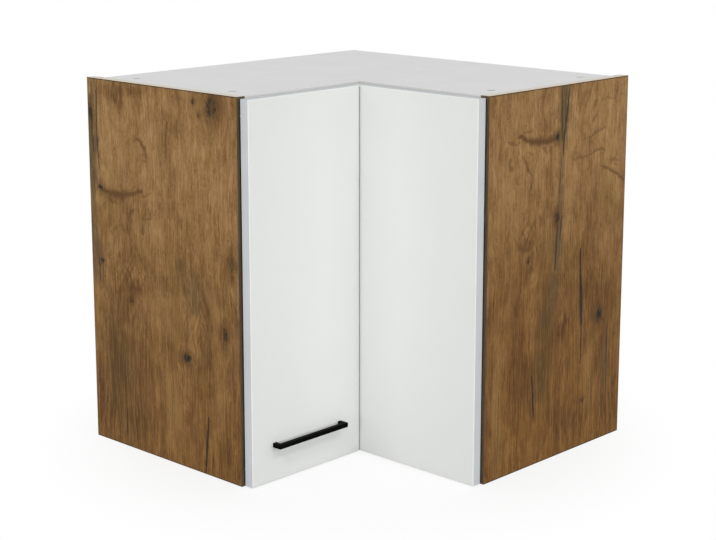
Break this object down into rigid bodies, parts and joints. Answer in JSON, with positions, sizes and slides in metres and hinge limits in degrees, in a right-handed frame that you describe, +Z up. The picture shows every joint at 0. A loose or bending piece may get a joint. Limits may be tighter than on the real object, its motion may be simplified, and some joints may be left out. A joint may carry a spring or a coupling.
{
  "type": "corner wall cabinet",
  "caption": "L-shaped corner wall cabinet with a two-leaf folding door, bar handle, inner shelf and adjustable wall hangers.",
  "frame": {"origin": "the corner of the room at the height of the cabinet's underside: the rear edge of the left end panel touches the plane x = 0 and that of the right end panel the plane y = 0", "axes": "+Z up, +X along the right wall and -Y along the left wall, both away from the corner; the left leaf of the door faces +X and the right leaf -Y"},
  "size_m": [0.6, 0.6, 0.585],
  "materials": {
    "oak_panel": "satin wood-grain foil on chipboard, white inside",
    "oak_band": "dark brown edge banding",
    "white_board": "matt white melamine on chipboard",
    "white_back": "smooth white lacquer on thin fibreboard",
    "white_band": "pale edge banding",
    "leaf_white": "satin white foil on fibreboard",
    "cam_zinc": "cast zinc, dull",
    "bolt_steel": "zinc plated",
    "beech": "turned beech",
    "pin_nickel": "nickel plated",
    "hanger_plastic": "white moulded plastic",
    "hook_steel": "zinc plated",
    "screw_zinc": "zinc plated",
    "bumper": "clear soft rubber",
    "handle_black": "matt black coating",
    "hinge_nickel": "nickel plated, smooth",
    "link_steel": "nickel plated"
  },
  "bodies": {
    "carcass": {"left_side_panel": "oak_panel", "right_side_panel": "oak_panel", "left_front_band": "oak_band", "right_front_band": "oak_band", "top_panel": "white_board", "bottom_panel": "white_board", "shelf": "white_board", "corner_post": "white_board", "left_back_panel": "white_back", "right_back_panel": "white_back", "board_bands": "white_band", "shelf_bands": "white_band", "cam_housings": "cam_zinc", "cam_bolts": "bolt_steel", "wood_dowels": "beech", "shelf_pins": "pin_nickel", "left_hanger": "hanger_plastic", "right_hanger": "hanger_plastic", "hanger_setting_screws": "screw_zinc", "hinge_plate_screws": "screw_zinc", "lower_hinge_plate": "hinge_nickel", "upper_hinge_plate": "hinge_nickel", "lower_hinge_arm": "hinge_nickel", "upper_hinge_arm": "hinge_nickel", "arm_pivot_pins": "link_steel"},
    "inner_links": {"lower_inner_link": "link_steel", "upper_inner_link": "link_steel", "link_pivot_pins": "link_steel"},
    "outer_links": {"lower_outer_links": "link_steel", "upper_outer_links": "link_steel"},
    "right_door": {"right_leaf": "leaf_white", "lower_hinge_cup": "hinge_nickel", "upper_hinge_cup": "hinge_nickel", "hinge_cup_screws": "screw_zinc", "cup_pivot_pins": "link_steel", "lower_fold_plate": "hinge_nickel", "upper_fold_plate": "hinge_nickel", "lower_fold_arm": "hinge_nickel", "upper_fold_arm": "hinge_nickel", "fold_plate_screws": "screw_zinc"},
    "left_door": {"left_leaf": "leaf_white", "lower_fold_cup": "hinge_nickel", "upper_fold_cup": "hinge_nickel", "fold_cup_screws": "screw_zinc", "fold_pivot_pins": "link_steel", "handle": "handle_black", "handle_screws": "screw_zinc", "door_bumpers": "bumper"},
    "left_hanger_hook": {"left_hook": "hook_steel"},
    "right_hanger_hook": {"right_hook": "hook_steel"}
  },
  "joints": [
    {"name": "hinge_pivot", "type": "hinge", "parent": "carcass", "child": "inner_links", "pos_m": [0.5825, -0.354, 0.2915], "axis": [0, 0, 1], "range_deg": [0, 176]},
    {"name": "link_pivot", "type": "hinge", "parent": "inner_links", "child": "outer_links", "pos_m": [0.5625, -0.35, 0.2915], "axis": [0, 0, 1], "range_deg": [-152, 0]},
    {"name": "door_pivot", "type": "hinge", "parent": "outer_links", "child": "right_door", "pos_m": [0.5785, -0.35, 0.2915], "axis": [0, 0, 1], "range_deg": [0, 136]},
    {"name": "fold_pivot", "type": "hinge", "parent": "right_door", "child": "left_door", "pos_m": [0.3515, -0.3755, 0.2915], "axis": [0, 0, 1], "range_deg": [-66, 0]},
    {"name": "left_hook_slide", "type": "slide", "parent": "carcass", "child": "left_hanger_hook", "axis": [1, 0, 0], "range_m": [0, 0.008]},
    {"name": "right_hook_slide", "type": "slide", "parent": "carcass", "child": "right_hanger_hook", "axis": [0, -1, 0], "range_m": [0, 0.008]}
  ],
  "couplings": [
    {"joint": "link_pivot", "follows": "hinge_pivot", "ratio": -0.86363},
    {"joint": "door_pivot", "follows": "hinge_pivot", "ratio": 0.77272},
    {"joint": "fold_pivot", "follows": "hinge_pivot", "ratio": -0.375}
  ]
}
